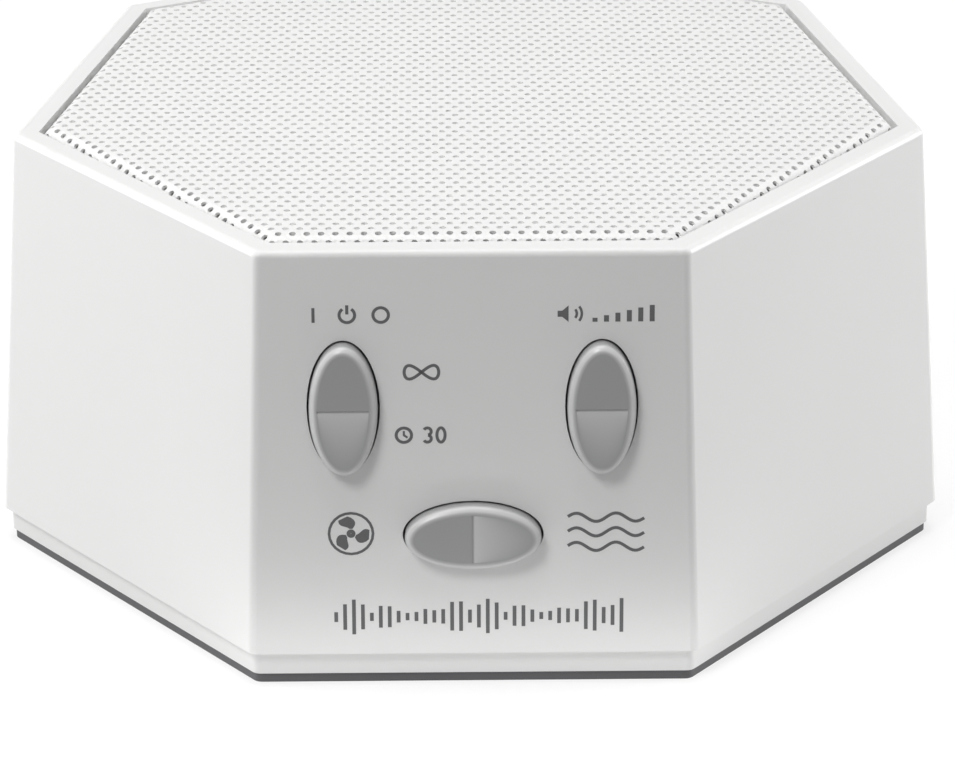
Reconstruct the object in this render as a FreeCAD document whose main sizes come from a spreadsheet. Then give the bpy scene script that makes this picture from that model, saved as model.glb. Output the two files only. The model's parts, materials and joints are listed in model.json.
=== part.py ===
import FreeCAD, Part
import math
import os

import Sketcher

# White noise sound machine: a seven-sided tapered shell with a perforated grille on top,
# three elliptical rocker keys on the front face and a loudspeaker facing up inside.
# Axes: +X to the right, +Y to the back, +Z up. The origin is the centre of the rubber foot's underside.

V = FreeCAD.Vector
SIDES = 7
TURN = 360 / SIDES
HALF_TURN = 180 / SIDES
HEXAGON_SIDES = 6
HEXAGON_TURN = 360 / HEXAGON_SIDES
# Two coordinates count as equal within this length
NEAR = 1e-3
# Shape of the dust cap's dome: its shoulder as shares of the cap's own radius and rise
DOME_REACH = 0.6
DOME_RISE = 0.75

# Driving dimensions in millimetres and degrees
SIZES = {
    # Shell
    "side_length": 50.0,
    "overall_height": 51.7,
    "seam_height": 4.05,
    "draft_angle": 3.53,
    "wall": 2.2,
    "corner_round": 1.2,
    "rim_round": 0.8,
    "rim_width": 2.7,
    "recess_depth": 2.2,
    "baffle": 2.0,
    # Grille
    "grille_gap": 0.2,
    "grille_proud": 0.4,
    "grille_sheet": 0.6,
    "grille_bend": 1.7,
    "hole_pitch": 5.8,
    "hole_width": 3.0,
    # Base and foot
    "foot_thickness": 1.2,
    "foot_inset": 0.3,
    "base_inset": 0.8,
    "base_floor": 2.0,
    "lip_height": 3.3,
    "lip_gap": 0.2,
    "lip_wall": 1.5,
    # Case screws
    "case_screw_circle": 48.0,
    "case_boss_radius": 3.0,
    "case_boss_foot": 6.7,
    "case_shank_radius": 1.4,
    "case_shank_length": 16.0,
    "case_head_radius": 2.7,
    "case_head_height": 1.8,
    "screw_clearance": 0.1,
    # Keys, measured along and across the long axis of the ellipse
    "key_length": 15.2,
    "key_width": 7.6,
    "key_gap": 0.25,
    "key_proud": 1.9,
    "key_valley": 0.35,
    "key_edge_round": 0.8,
    "flange_margin": 1.1,
    "flange_thickness": 1.0,
    "flange_drop": 0.8,
    "side_key_offset": 14.25,
    "side_key_drop": 13.6,
    "sound_key_height": 14.4,
    "pivot_radius": 0.9,
    "pivot_clearance": 0.05,
    "pivot_reach": 2.3,
    "rib_gap": 0.4,
    "rib_thickness": 2.0,
    "rib_width": 3.6,
    "rib_depth": 2.8,
    # Key switches and their board
    "switch_lever": 5.0,
    "foot_length": 0.6,
    "foot_radius": 1.3,
    "press_gap": 0.3,
    "switch_size": 6.0,
    "switch_height": 3.4,
    "plunger_radius": 1.6,
    "plunger_stand": 0.9,
    "plunger_depth": 1.6,
    "plunger_travel": 0.25,
    "key_board_width": 44.6,
    "key_board_low": 8.8,
    "key_board_headroom": 0.33,
    "key_board_thickness": 1.2,
    "key_boss_offset": 19.5,
    "key_boss_edge": 2.6,
    "key_boss_radius": 2.2,
    # Small screws for the boards and the loudspeaker
    "small_shank_radius": 1.0,
    "small_head_radius": 2.0,
    "small_head_height": 1.3,
    "small_shank_length": 5.0,
    # Main board
    "main_board_height": 10.0,
    "main_board_thickness": 1.6,
    "main_board_inset": 7.9,
    "main_post_circle": 30.0,
    "main_post_radius": 3.0,
    "notch_clearance": 0.8,
    "chip_side": 9.0,
    "chip_height": 1.6,
    "amplifier_width": 5.4,
    "amplifier_length": 6.3,
    "chip_offset_x": 12.0,
    "chip_offset_y": 14.0,
    "capacitor_radius": 4.0,
    "capacitor_height": 11.0,
    "capacitor_offset_x": 19.0,
    "capacitor_offset_y": 6.0,
    # Ribbon cable and its two sockets
    "ribbon_width": 10.0,
    "ribbon_thickness": 0.9,
    "ribbon_socket_height": 4.6,
    "ribbon_socket_depth": 3.4,
    "ribbon_margin": 1.5,
    "ribbon_start_height": 22.0,
    "ribbon_run": 1.6,
    "ribbon_bend": 4.0,
    # Sockets at the back
    "inlet_width": 9.0,
    "inlet_length": 13.0,
    "inlet_height": 10.6,
    "inlet_axis_height": 6.4,
    "inlet_bore_radius": 3.1,
    "inlet_bore_depth": 9.8,
    "inlet_pin_radius": 1.0,
    "inlet_nose_radius": 3.9,
    "jack_width": 6.6,
    "jack_length": 12.0,
    "jack_height": 6.0,
    "jack_bore_radius": 1.8,
    "jack_bore_depth": 12.5,
    "jack_nose_radius": 2.8,
    "nose_gap": 0.2,
    "nose_set_back": 0.4,
    # Loudspeaker
    "speaker_opening": 25.0,
    "gasket_thickness": 1.0,
    "gasket_width": 1.8,
    "flange_radius": 31.0,
    "basket_sheet": 0.8,
    "basket_depth": 11.2,
    "basket_foot_radius": 16.6,
    "basket_bore_radius": 9.0,
    "basket_window": 9.0,
    "basket_window_height": 7.2,
    "speaker_screw_edge": 2.0,
    "speaker_shank_length": 3.0,
    "top_plate_radius": 13.5,
    "top_plate_thickness": 3.0,
    "magnet_radius": 16.0,
    "magnet_bore_radius": 8.2,
    "magnet_thickness": 5.0,
    "yoke_radius": 13.5,
    "yoke_thickness": 2.5,
    "pole_radius": 5.9,
    "coil_gap": 0.35,
    "coil_wall": 0.4,
    "coil_overhang": 4.3,
    "coil_rise": 4.6,
    "roll_width": 3.3,
    "cone_sheet": 0.6,
    "cone_rise": 6.0,
    "cone_drop": 1.2,
    "cap_radius": 9.0,
    "cap_rise": 2.2,
    "surround_sheet": 0.5,
    "surround_lip": 0.9,
    "surround_gap": 0.3,
    "roll_height": 1.6,
    "roll_sheet": 0.75,
    "spider_sheet": 0.5,
    "spider_wave": 0.7,
    "spider_run": 2.0,
    "spider_rim": 1.0,
    "terminal_width": 10.0,
    "terminal_height": 6.0,
    "terminal_sheet": 1.2,
    "lead_radius": 0.6,
    "lead_spacing": 2.6,
    "speaker_socket_width": 7.5,
    "speaker_socket_length": 5.0,
    "speaker_socket_height": 5.0,
    "speaker_socket_offset": 31.0,
}

doc = FreeCAD.newDocument("SoundMachine")
sheet = doc.addObject("Spreadsheet::Sheet", "Sizes")
for row, (alias, amount) in enumerate(SIZES.items(), start=1):
    sheet.set("A%d" % row, alias)
    sheet.set("B%d" % row, str(amount))
    sheet.setAlias("B%d" % row, alias)
doc.recompute()

nodes = {}


def size(text):
    """Expression text: each word that names a driving dimension is read from the sheet."""
    words = "".join(letter if letter.isalnum() or letter == "_" else " " for letter in text).split()
    for word in sorted(set(words), key=len, reverse=True):
        if word in SIZES:
            pieces = []
            rest = text
            while word in rest:
                before, rest = rest.split(word, 1)
                joined = (before[-1:].isalnum() or before[-1:] in ("_", ".")
                          or rest[:1].isalnum() or rest[:1] == "_")
                pieces.append(before + (word if joined else "Sizes." + word))
            text = "".join(pieces) + rest
    return text


def value(text):
    """The number that an expression gives now."""
    return float(sheet.evalExpression(size(text)))


def bind(thing, **expressions):
    """Bind properties to the sheet. Two underscores in a name stand for a dot."""
    for path, text in expressions.items():
        thing.setExpression(path.replace("__", "."), size(text))


def bind_base(thing, place, prefix="Placement"):
    for axis, text in zip("xyz", place):
        thing.setExpression("%s.Base.%s" % (prefix, axis), size(text))


def total(*texts):
    return "(" + " + ".join("(%s)" % text for text in texts) + ")"


def minus(first, *others):
    return "((%s)%s)" % (first, "".join(" - (%s)" % text for text in others))


def times(first, second):
    return "((%s) * (%s))" % (first, second)


# Derived levels and sizes, each written once
APOTHEM = "(side_length / 2 / tan(%r))" % HALF_TURN
SLOPE = "tan(draft_angle)"
THROUGH_WALL = "(3 * wall)"
BAFFLE_TOP = "(overall_height - recess_depth)"
BAFFLE_UNDER = "(overall_height - recess_depth - baffle)"
TOP_APOTHEM = "(%s - %s * (overall_height - seam_height))" % (APOTHEM, SLOPE)
RECESS_APOTHEM = "(%s - rim_width)" % TOP_APOTHEM
GRILLE_APOTHEM = "(%s - grille_gap)" % RECESS_APOTHEM
BASE_APOTHEM = "(%s - base_inset)" % APOTHEM
CAVITY_APOTHEM = "(%s - wall)" % APOTHEM
BOARD_TOP = "(main_board_height + main_board_thickness)"
BASE_FLOOR_TOP = "(foot_thickness + base_floor)"
PIVOT_OUT = "(0 - wall - flange_drop - flange_thickness / 2)"
FLANGE_UNDER = "(0 - wall - flange_drop - flange_thickness)"
PLUNGER_TIP = "(%s - foot_length - press_gap)" % FLANGE_UNDER
SWITCH_TOP = "(%s - plunger_stand)" % PLUNGER_TIP
KEY_BOARD_FRONT = "(%s - switch_height)" % SWITCH_TOP
KEY_BOARD_BACK = "(%s - key_board_thickness)" % KEY_BOARD_FRONT
SPEAKER_TOP = "(%s - gasket_thickness)" % BAFFLE_UNDER
SPEAKER_SCREW_CIRCLE = "(flange_radius - speaker_screw_edge)"
KEY_BOARD_HIGH = "((%s - seam_height) / cos(draft_angle) - key_board_headroom)" % BAFFLE_UNDER
KEY_BOARD_MIDDLE = "((%s + key_board_low) / 2)" % KEY_BOARD_HIGH
SIDE_KEY_HEIGHT = "(%s - side_key_drop)" % KEY_BOARD_HIGH


def on_front(across, up, out):
    """A place given across and up the sloping front face from its lower edge, and out of it."""
    back = "(0 - %s + (%s) * sin(draft_angle) - (%s) * cos(draft_angle))" % (APOTHEM, up, out)
    height = "(seam_height + (%s) * cos(draft_angle) + (%s) * sin(draft_angle))" % (up, out)
    return across, back, height


def front_rotation(spin=0.0):
    """Local X across, local Y up the slope and local Z out of the front face, spun about Z."""
    tilt = FreeCAD.Rotation(V(1, 0, 0), 90 - value("draft_angle"))
    return tilt.multiply(FreeCAD.Rotation(V(0, 0, 1), spin))


def outward_rotation(azimuth):
    """Local Z out of a side wall that faces the azimuth, local Y up."""
    angle = math.radians(azimuth)
    out = V(math.cos(angle), math.sin(angle), 0)
    up = V(0, 0, 1)
    return FreeCAD.Rotation(up.cross(out), up, out, "ZXY")


def add_node(thing, name):
    thing.Label = name
    nodes[name] = thing
    return thing


def body_named(name, node=True):
    body = doc.addObject("PartDesign::Body", name + "_body")
    if node:
        add_node(body, name)
    return body


def sketch_on(body, name, role="XY_Plane", place=("0", "0", "0"), rotation=None):
    """A sketch on an origin plane of its body, shifted and turned in that plane's own axes."""
    sketch = body.newObject("Sketcher::SketchObject", name)
    plane = [item for item in body.Origin.OriginFeatures if item.Role == role][0]
    sketch.AttachmentSupport = [(plane, "")]
    sketch.MapMode = "FlatFace"
    if rotation is not None:
        sketch.AttachmentOffset = FreeCAD.Placement(V(), rotation)
    bind_base(sketch, place, "AttachmentOffset")
    return sketch


def constrain(sketch, text, kind, *where):
    index = sketch.addConstraint(Sketcher.Constraint(kind, *where, value(text)))
    sketch.setExpression("Constraints[%d]" % index, size(text))


def locate(sketch, geometry, point, across, up):
    """Tie a point to the sketch's origin by its two distances."""
    for text, kind, axis in ((across, "DistanceX", -2), (up, "DistanceY", -1)):
        if abs(value(text)) < NEAR:
            sketch.addConstraint(Sketcher.Constraint("PointOnObject", geometry, point, axis))
        else:
            constrain(sketch, text, kind, -1, 1, geometry, point)


def draw_circle(sketch, radius, across="0", up="0"):
    centre = V(value(across), value(up), 0)
    index = sketch.addGeometry(Part.Circle(centre, V(0, 0, 1), value(radius)), False)
    locate(sketch, index, 3, across, up)
    constrain(sketch, radius, "Radius", index)


def draw_ellipse(sketch, long_axis, short_axis, across="0", up="0", upright=True):
    centre = V(value(across), value(up), 0)
    long_tip = V(0, value(long_axis) / 2, 0) if upright else V(value(long_axis) / 2, 0, 0)
    short_tip = V(value(short_axis) / 2, 0, 0) if upright else V(0, value(short_axis) / 2, 0)
    index = sketch.addGeometry(Part.Ellipse(centre + long_tip, centre + short_tip, centre), False)
    sketch.exposeInternalGeometry(index)
    locate(sketch, index, 3, across, up)
    sketch.addConstraint(Sketcher.Constraint("Vertical" if upright else "Horizontal", index + 1))
    constrain(sketch, long_axis, "Distance", index + 1)
    constrain(sketch, short_axis, "Distance", index + 2)


def draw_polygon(sketch, points):
    """A closed outline through points, each given by two expressions."""
    spots = [V(value(across), value(up), 0) for across, up in points]
    first = sketch.GeometryCount
    for spot, after in zip(spots, spots[1:] + spots[:1]):
        sketch.addGeometry(Part.LineSegment(spot, after), False)
    for offset, (across, up) in enumerate(points):
        line = first + offset
        before = first + (offset - 1) % len(points)
        sketch.addConstraint(Sketcher.Constraint("Coincident", before, 2, line, 1))
        locate(sketch, line, 1, across, up)


def draw_rectangle(sketch, width, depth, across="0", up="0"):
    left, right = minus(across, "(%s) / 2" % width), total(across, "(%s) / 2" % width)
    low, high = minus(up, "(%s) / 2" % depth), total(up, "(%s) / 2" % depth)
    draw_polygon(sketch, [(left, low), (right, low), (right, high), (left, high)])


def draw_heptagon(sketch, apothem):
    """Seven equal sides round the origin, with one side square to -Y and a corner on +Y."""
    radius = "(%s) / cos(%r)" % (apothem, HALF_TURN)
    reach = value(radius)
    corners = [V(0, reach, 0)]
    for step in range(1, SIDES):
        angle = math.radians(90 + TURN * step)
        corners.append(V(reach * math.cos(angle), reach * math.sin(angle), 0))
    ring = sketch.addGeometry(Part.Circle(V(), V(0, 0, 1), reach), True)
    sketch.addConstraint(Sketcher.Constraint("Coincident", ring, 3, -1, 1))
    constrain(sketch, radius, "Radius", ring)
    for step in range(SIDES):
        sketch.addGeometry(Part.LineSegment(corners[step], corners[(step + 1) % SIDES]), False)
    for step in range(SIDES):
        line = ring + 1 + step
        before = ring + 1 + (step - 1) % SIDES
        sketch.addConstraint(Sketcher.Constraint("Coincident", before, 2, line, 1))
        sketch.addConstraint(Sketcher.Constraint("PointOnObject", line, 1, ring))
        if step:
            sketch.addConstraint(Sketcher.Constraint("Equal", ring + 1, line))
    sketch.addConstraint(Sketcher.Constraint("PointOnObject", ring + 1, 1, -2))


def checked(body, feature, grows):
    """Recompute, and make sure that the feature changed the solid the way it should."""
    before = body.Shape.Volume if body.Shape and not body.Shape.isNull() else 0.0
    doc.recompute()
    body.Tip = feature
    doc.recompute()
    change = feature.Shape.Volume - before
    if (change <= 0) if grows else (change >= 0):
        raise ValueError("%s leaves the volume at %.2f" % (feature.Name, feature.Shape.Volume))
    return feature


def pad(body, sketch, length, taper=None, reverse=False):
    feature = body.newObject("PartDesign::Pad", sketch.Name + "_pad")
    feature.Profile = sketch
    feature.Reversed = reverse
    bind(feature, Length=length)
    if taper:
        bind(feature, TaperAngle=taper)
    sketch.Visibility = False
    return checked(body, feature, True)


def pocket(body, sketch, length, taper=None, reverse=False, both_ways=False):
    feature = body.newObject("PartDesign::Pocket", sketch.Name + "_pocket")
    feature.Profile = sketch
    feature.Reversed = reverse
    feature.Midplane = both_ways
    bind(feature, Length=length)
    if taper:
        bind(feature, TaperAngle=taper)
    return checked(body, feature, False)


def revolve(body, sketch):
    """Turn a profile drawn on the XZ plane about the upright axis."""
    feature = body.newObject("PartDesign::Revolution", sketch.Name + "_turn")
    feature.Profile = sketch
    feature.ReferenceAxis = (sketch, ["V_Axis"])
    feature.Angle = 360
    return checked(body, feature, True)


def round_edges(body, name, radius, wanted):
    """Fillet the edges of the body's tip that the test picks."""
    tip = body.Tip
    picked = [("Edge%d" % number) for number, edge in enumerate(tip.Shape.Edges, start=1) if wanted(edge)]
    feature = body.newObject("PartDesign::Fillet", name)
    feature.Base = (tip, picked)
    bind(feature, Radius=radius)
    doc.recompute()
    body.Tip = feature
    doc.recompute()
    return feature


def level(edge, height):
    """Whether the whole edge lies at one height."""
    box = edge.BoundBox
    return abs(box.ZMin - height) < NEAR and abs(box.ZMax - height) < NEAR


def upright(edge):
    """Whether the edge climbs from one level to another, as a corner does."""
    return edge.BoundBox.ZLength > edge.Length / 2


def around(radius, azimuth):
    """A place at a radius and an azimuth about the upright axis."""
    return "(%s) * cos(%r)" % (radius, azimuth), "(%s) * sin(%r)" % (radius, azimuth)


CASE_SCREW_AZIMUTHS = [90 + TURN * step for step in (1, 2, 5, 6)]
POST_AZIMUTHS = [90 + TURN * step for step in (1, 2.5, 4.5, 6)]
SPEAKER_SCREW_AZIMUTHS = [45 + 90 * step for step in range(4)]
INLET_AZIMUTH = 90 - HALF_TURN
JACK_AZIMUTH = 90 + HALF_TURN
INLET_AXIS = "(%s + inlet_axis_height)" % BOARD_TOP
JACK_AXIS = "(%s + jack_height / 2)" % BOARD_TOP
KEY_BOSSES = [(side + "key_boss_offset", height) for side in ("-", "")
              for height in ("key_board_low + key_boss_edge", "%s - key_boss_edge" % KEY_BOARD_HIGH)]

# Each key: name, place across and up the front face, and whether the ellipse stands upright
KEYS = [
    ("power_key", "-side_key_offset", SIDE_KEY_HEIGHT, True),
    ("volume_key", "side_key_offset", SIDE_KEY_HEIGHT, True),
    ("sound_key", "0", "sound_key_height", False),
]


def front_sketch(body, name, out="0"):
    """A sketch on the front face, or on a plane beside it, with its origin at the lower edge."""
    place = on_front("0", "0", out)
    offset = ("0", place[2], minus("0", place[1]))
    sketch = sketch_on(body, name, "XZ_Plane", offset, FreeCAD.Rotation(V(1, 0, 0), -value("draft_angle")))
    bind(sketch, AttachmentOffset__Rotation__Angle="-draft_angle")
    return sketch


def side_sketch(body, name, azimuth, height, radial="0"):
    """A sketch square to a side wall, with its origin on the axis of a socket."""
    across, along = around(radial, azimuth)
    return sketch_on(body, name, "XY_Plane", (across, along, height), outward_rotation(azimuth))


# Top housing
housing = body_named("top_housing")
outline = sketch_on(housing, "shell_outline", place=("0", "0", "seam_height"))
draw_heptagon(outline, APOTHEM)
pad(housing, outline, "overall_height - seam_height", taper="0 - draft_angle")
round_edges(housing, "corner_rounding", "corner_round", upright)
round_edges(housing, "rim_rounding", "rim_round", lambda edge: level(edge, value("overall_height")))

cavity = sketch_on(housing, "cavity", place=("0", "0", "seam_height"))
draw_heptagon(cavity, CAVITY_APOTHEM)
pocket(housing, cavity, minus(BAFFLE_UNDER, "seam_height"), taper="0 - draft_angle", reverse=True)
recess = sketch_on(housing, "grille_recess", place=("0", "0", "overall_height"))
draw_heptagon(recess, RECESS_APOTHEM)
pocket(housing, recess, "recess_depth")
opening = sketch_on(housing, "speaker_window", place=("0", "0", "overall_height"))
draw_circle(opening, "speaker_opening")
pocket(housing, opening, "recess_depth + baffle + wall")

for name, across, up, standing in KEYS:
    slot = front_sketch(housing, name + "_opening")
    draw_ellipse(slot, "key_length + 2 * key_gap", "key_width + 2 * key_gap", across, up, standing)
    pocket(housing, slot, THROUGH_WALL)

RIB_CENTRE = "(key_width / 2 + flange_margin + rib_gap + rib_thickness / 2)"
for name, across, up, standing in KEYS:
    ribs = front_sketch(housing, name + "_ribs", "0 - wall - rib_depth")
    for side in ("-", ""):
        shift = "(%s%s)" % (side, RIB_CENTRE)
        if standing:
            draw_rectangle(ribs, "rib_thickness", "rib_width", total(across, shift), up)
        else:
            draw_rectangle(ribs, "rib_width", "rib_thickness", across, total(up, shift))
    pad(housing, ribs, "rib_depth + wall / 2")

BORE_RADIUS = "pivot_radius + pivot_clearance"
BORE_SPAN = "(2 * (%s + rib_thickness))" % RIB_CENTRE
for name, across, up, standing in KEYS:
    pivot = on_front(across, up, PIVOT_OUT)
    if standing:
        bore = sketch_on(housing, name + "_bore", "YZ_Plane", (pivot[1], pivot[2], pivot[0]))
    else:
        tilt = FreeCAD.Rotation(V(1, 0, 0), -value("draft_angle"))
        bore = sketch_on(housing, name + "_bore", "XY_Plane", pivot, tilt)
        bind(bore, AttachmentOffset__Rotation__Angle="-draft_angle")
    draw_circle(bore, BORE_RADIUS)
    pocket(housing, bore, BORE_SPAN, both_ways=True)

bosses = front_sketch(housing, "key_board_bosses", KEY_BOARD_FRONT)
for across, up in KEY_BOSSES:
    draw_circle(bosses, "key_boss_radius", across, up)
pad(housing, bosses, minus("0 - wall / 2", KEY_BOARD_FRONT))
pilots = front_sketch(housing, "key_board_pilots", KEY_BOARD_FRONT)
for across, up in KEY_BOSSES:
    draw_circle(pilots, "small_shank_radius + screw_clearance", across, up)
pocket(housing, pilots, "small_shank_length", reverse=True)

posts = sketch_on(housing, "case_posts", place=("0", "0", "case_boss_foot"))
for azimuth in CASE_SCREW_AZIMUTHS:
    draw_circle(posts, "case_boss_radius", *around("case_screw_circle", azimuth))
pad(housing, posts, minus(BAFFLE_UNDER, "case_boss_foot"))
pilots = sketch_on(housing, "case_pilots", place=("0", "0", "case_boss_foot"))
for azimuth in CASE_SCREW_AZIMUTHS:
    draw_circle(pilots, "case_shank_radius + screw_clearance", *around("case_screw_circle", azimuth))
pocket(housing, pilots, "case_shank_length", reverse=True)

studs = sketch_on(housing, "speaker_bosses", place=("0", "0", SPEAKER_TOP))
for azimuth in SPEAKER_SCREW_AZIMUTHS:
    draw_circle(studs, "small_head_radius", *around(SPEAKER_SCREW_CIRCLE, azimuth))
pad(housing, studs, "gasket_thickness + baffle / 2")
pilots = sketch_on(housing, "speaker_pilots", place=("0", "0", SPEAKER_TOP))
for azimuth in SPEAKER_SCREW_AZIMUTHS:
    draw_circle(pilots, "small_shank_radius + screw_clearance", *around(SPEAKER_SCREW_CIRCLE, azimuth))
pocket(housing, pilots, "speaker_shank_length - basket_sheet", reverse=True)

for name, azimuth, height, radius in (
        ("inlet", INLET_AZIMUTH, INLET_AXIS, "inlet_nose_radius + nose_gap"),
        ("jack", JACK_AZIMUTH, JACK_AXIS, "jack_nose_radius + nose_gap")):
    window = side_sketch(housing, name + "_window", azimuth, height, APOTHEM)
    draw_circle(window, radius)
    pocket(housing, window, THROUGH_WALL)

# Perforated grille: a shallow pan whose edge turns down into the recess
GRILLE_TOP = "(overall_height + grille_proud)"
GRILLE_DEPTH = "(recess_depth + grille_proud)"
pan = body_named("grille_pan", node=False)
outline = sketch_on(pan, "grille_outline", place=("0", "0", BAFFLE_TOP))
draw_heptagon(outline, GRILLE_APOTHEM)
pad(pan, outline, GRILLE_DEPTH)
round_edges(pan, "grille_bend_outside", "grille_bend", lambda edge: level(edge, value(GRILLE_TOP)))
hollow = sketch_on(pan, "grille_hollow", place=("0", "0", BAFFLE_TOP))
draw_heptagon(hollow, minus(GRILLE_APOTHEM, "grille_sheet"))
pocket(pan, hollow, minus(GRILLE_DEPTH, "grille_sheet"), reverse=True)
round_edges(pan, "grille_bend_inside", "grille_bend - grille_sheet",
            lambda edge: level(edge, value(minus(GRILLE_TOP, "grille_sheet"))))


def hole_centres(pitch, reach):
    """Rows of a hexagonal lattice, parallel to the front side, that stay within the apothem."""
    normals = []
    for step in range(SIDES):
        angle = math.radians(-90 + TURN * step)
        normals.append(V(math.cos(angle), math.sin(angle), 0))
    rise = pitch * math.sqrt(3) / 2
    count = int(2 * reach / rise) + 2
    for line in range(-count, count + 1):
        for step in range(-count, count + 1):
            centre = V((step + 0.5 * (line % 2)) * pitch, line * rise, 0)
            if all(centre.dot(normal) <= reach for normal in normals):
                yield centre


def hexagon_cutter(centre, width, low, high):
    reach = width / math.sqrt(3)
    corners = []
    for step in range(HEXAGON_SIDES + 1):
        angle = math.radians(HEXAGON_TURN * (step + 0.5))
        corners.append(V(centre.x + reach * math.cos(angle), centre.y + reach * math.sin(angle), low))
    return Part.Face(Part.makePolygon(corners)).extrude(V(0, 0, high - low))


holes = doc.addObject("Part::Feature", "grille_holes")
hole_reach = value(minus(GRILLE_APOTHEM, "grille_bend", "hole_width / 2"))
holes.Shape = Part.makeCompound([
    hexagon_cutter(centre, value("hole_width"), value(BAFFLE_TOP), value(total(GRILLE_TOP, "wall")))
    for centre in hole_centres(value("hole_pitch"), hole_reach)])
grille = doc.addObject("Part::Cut", "grille_cut")
grille.Base = pan
grille.Tool = holes
add_node(grille, "grille")

# Base cover
base = body_named("base_cover")
outline = sketch_on(base, "base_outline", place=("0", "0", "foot_thickness"))
draw_heptagon(outline, BASE_APOTHEM)
pad(base, outline, "seam_height - foot_thickness")
round_edges(base, "base_corner_rounding", "corner_round", upright)
hollow = sketch_on(base, "base_hollow", place=("0", "0", "seam_height"))
draw_heptagon(hollow, minus(CAVITY_APOTHEM, "lip_gap", "lip_wall"))
pocket(base, hollow, minus("seam_height", BASE_FLOOR_TOP))
lip = sketch_on(base, "base_lip", place=("0", "0", "seam_height - base_floor / 2"))
draw_heptagon(lip, minus(CAVITY_APOTHEM, "lip_gap"))
pad(base, lip, "lip_height")
inside = sketch_on(base, "lip_hollow", place=("0", "0", BASE_FLOOR_TOP))
draw_heptagon(inside, minus(CAVITY_APOTHEM, "lip_gap", "lip_wall"))
pocket(base, inside, "lip_height + seam_height", reverse=True)
cups = sketch_on(base, "screw_cups", place=("0", "0", "foot_thickness"))
for azimuth in CASE_SCREW_AZIMUTHS:
    draw_circle(cups, "case_head_radius + base_floor", *around("case_screw_circle", azimuth))
pad(base, cups, "case_boss_foot - foot_thickness")
posts = sketch_on(base, "board_posts", place=("0", "0", "foot_thickness"))
for azimuth in POST_AZIMUTHS:
    draw_circle(posts, "main_post_radius", *around("main_post_circle", azimuth))
pad(base, posts, "main_board_height - foot_thickness")
for name, radius, circle, azimuths, depth in (
        ("head_recess", "case_head_radius + 2 * screw_clearance", "case_screw_circle",
         CASE_SCREW_AZIMUTHS, "case_head_height + screw_clearance * 4"),
        ("shank_bore", "case_shank_radius + 2 * screw_clearance", "case_screw_circle",
         CASE_SCREW_AZIMUTHS, "case_boss_foot")):
    bore = sketch_on(base, name, place=("0", "0", "foot_thickness"))
    for azimuth in azimuths:
        draw_circle(bore, radius, *around(circle, azimuth))
    pocket(base, bore, depth, reverse=True)
pilots = sketch_on(base, "post_pilots", place=("0", "0", "main_board_height"))
for azimuth in POST_AZIMUTHS:
    draw_circle(pilots, "small_shank_radius + screw_clearance", *around("main_post_circle", azimuth))
pocket(base, pilots, "small_shank_length")

# Rubber foot
foot = body_named("foot_pad")
outline = sketch_on(foot, "foot_outline")
draw_heptagon(outline, minus(BASE_APOTHEM, "foot_inset"))
pad(foot, outline, "foot_thickness")
round_edges(foot, "foot_corner_rounding", "corner_round", upright)


def key_body(name, across, up, standing):
    """A rocker key in its own frame: long axis along Y, pivot along X, Z out of the face."""
    body = body_named(name)
    flange = sketch_on(body, name + "_flange", place=("0", "0", FLANGE_UNDER))
    draw_ellipse(flange, "key_length + 2 * flange_margin", "key_width + 2 * flange_margin")
    pad(body, flange, "flange_thickness")
    cap = sketch_on(body, name + "_cap", place=("0", "0", FLANGE_UNDER))
    draw_ellipse(cap, "key_length", "key_width")
    pad(body, cap, minus("key_proud", FLANGE_UNDER))
    valley = sketch_on(body, name + "_valley", "YZ_Plane")
    draw_polygon(valley, [("0", "key_proud - key_valley"), ("key_length", "key_proud + key_valley"),
                          ("-key_length", "key_proud + key_valley")])
    pocket(body, valley, "2 * key_width", both_ways=True)
    key_crease = value("key_valley")
    round_edges(body, name + "_edge", "key_edge_round",
                lambda edge: edge.BoundBox.ZMin > value("key_proud / 2") and edge.BoundBox.YLength > key_crease)
    feet = sketch_on(body, name + "_feet", place=("0", "0", minus(FLANGE_UNDER, "foot_length")))
    for side in ("-", ""):
        draw_circle(feet, "foot_radius", "0", side + "switch_lever")
    pad(body, feet, "foot_length + flange_thickness / 2")
    pins = sketch_on(body, name + "_pins", "YZ_Plane", ("0", PIVOT_OUT, "0"))
    draw_circle(pins, "pivot_radius")
    feature = body.newObject("PartDesign::Pad", name + "_pins_pad")
    feature.Profile = pins
    feature.Midplane = True
    bind(feature, Length="key_width + 2 * flange_margin + 2 * pivot_reach")
    checked(body, feature, True)
    body.Placement = FreeCAD.Placement(V(), front_rotation(0 if standing else 90))
    bind_base(body, on_front(across, up, "0"))


for key in KEYS:
    key_body(*key)


def block(name, width, depth, height, place, rotation=None, node=True):
    """A box centred in its local X and Y, rising from its place along local Z."""
    rotation = rotation or FreeCAD.Rotation()
    body = body_named(name, node)
    outline = sketch_on(body, name + "_outline")
    draw_rectangle(outline, width, depth)
    pad(body, outline, height)
    body.Placement = FreeCAD.Placement(V(), rotation)
    bind_base(body, place)
    return body


# Key board with its switches and their plungers
key_board = block("key_board", "key_board_width", minus(KEY_BOARD_HIGH, "key_board_low"), "key_board_thickness",
                  on_front("0", KEY_BOARD_MIDDLE, KEY_BOARD_BACK), front_rotation())
clear = sketch_on(key_board, "key_board_holes")
for across, up in KEY_BOSSES:
    draw_circle(clear, "small_shank_radius + 2 * screw_clearance", across,
                minus(up, KEY_BOARD_MIDDLE))
pocket(key_board, clear, "key_board_thickness * 2", reverse=True)

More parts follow.
